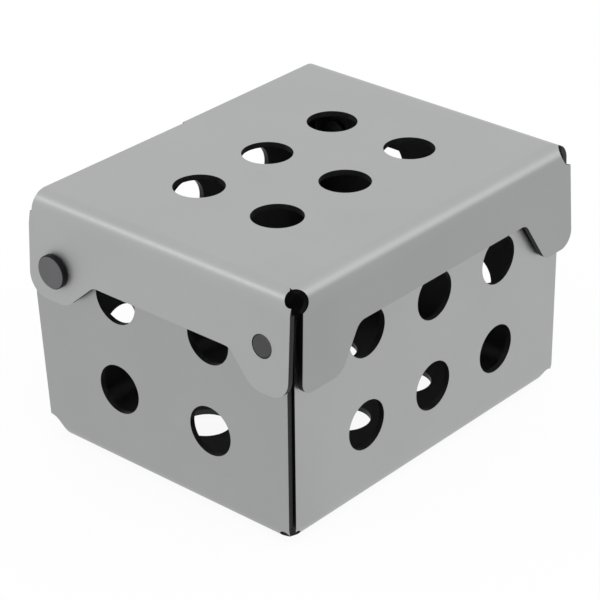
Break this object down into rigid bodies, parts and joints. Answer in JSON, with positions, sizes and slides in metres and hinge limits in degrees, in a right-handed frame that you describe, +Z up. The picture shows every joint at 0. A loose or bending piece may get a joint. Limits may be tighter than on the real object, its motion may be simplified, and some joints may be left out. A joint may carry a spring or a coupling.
{
  "type": "autoclave basket",
  "caption": "Small box-shaped perforated sheet-steel basket with a rivet-hinged flanged lid, for holding small instruments while steam reaches them.",
  "frame": {"origin": "on the surface the basket stands on, under the middle of its floor", "axes": "+X along the basket's long side, +Y towards the hinge side, +Z up"},
  "size_m": [0.0692, 0.0524, 0.0418],
  "materials": {
    "sheet": "satin",
    "rivet": "dull",
    "stud": "dull"
  },
  "bodies": {
    "basket": {"body": "sheet", "hinge_rivet_left": "rivet", "hinge_rivet_right": "rivet"},
    "lid": {"lid": "sheet", "latch_stud_left": "stud", "latch_stud_right": "stud"}
  },
  "joints": [
    {"name": "lid_hinge", "type": "hinge", "parent": "basket", "child": "lid", "pos_m": [0, 0.0196, 0.03085], "axis": [-1, 0, 0], "range_deg": [0, 110]}
  ]
}
